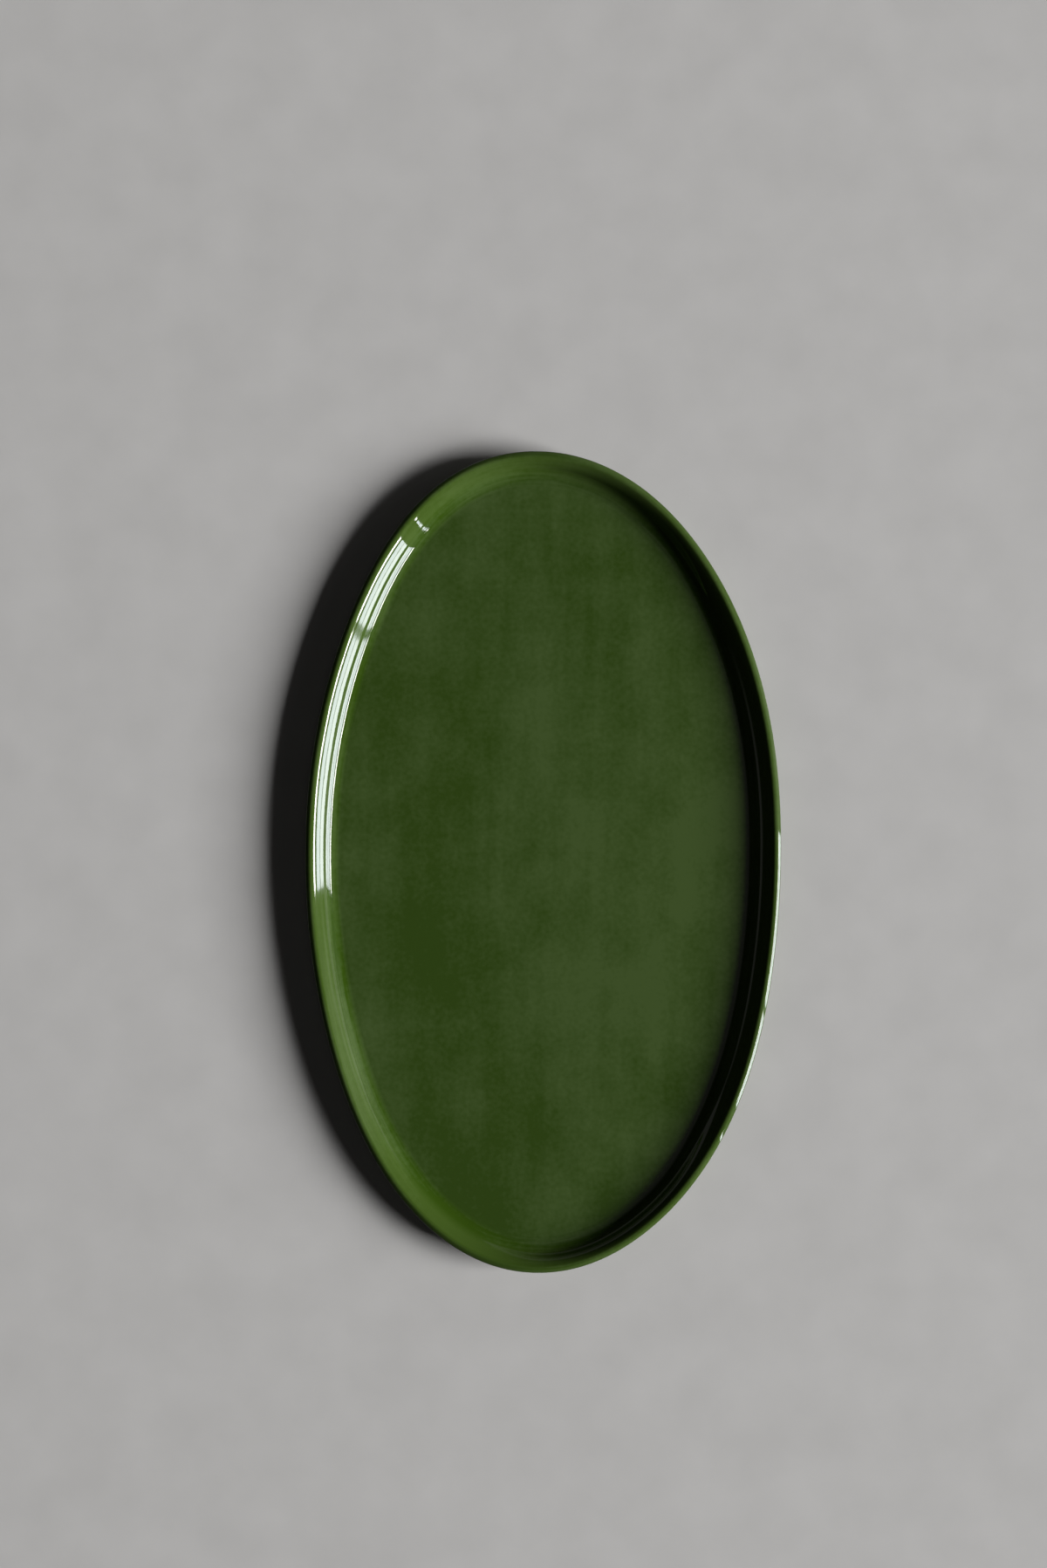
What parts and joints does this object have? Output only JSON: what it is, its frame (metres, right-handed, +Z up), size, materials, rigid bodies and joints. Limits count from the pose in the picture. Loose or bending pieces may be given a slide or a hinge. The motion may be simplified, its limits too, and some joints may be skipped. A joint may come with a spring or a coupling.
{
  "type": "oval platter",
  "caption": "Shallow oval serving platter in glossy olive-green glazed stoneware, with a rounded lip, a softly coved wall, a flat well and a bare foot ring.",
  "frame": {"origin": "on the table plane under the foot ring, at the centre of the platter's plan box", "axes": "+Z up out of the well, +Y along the platter's length, +X across it"},
  "size_m": [0.2608, 0.4504, 0.014],
  "materials": {
    "fired_clay": "bare fired stoneware, matt and slightly sandy",
    "green_glaze": "glossy olive-green glaze, slightly mottled, thinner on the lip"
  },
  "bodies": {
    "root": {"clay_body": "fired_clay", "glaze_coat": "green_glaze", "base_glaze": "green_glaze"}
  },
  "joints": []
}
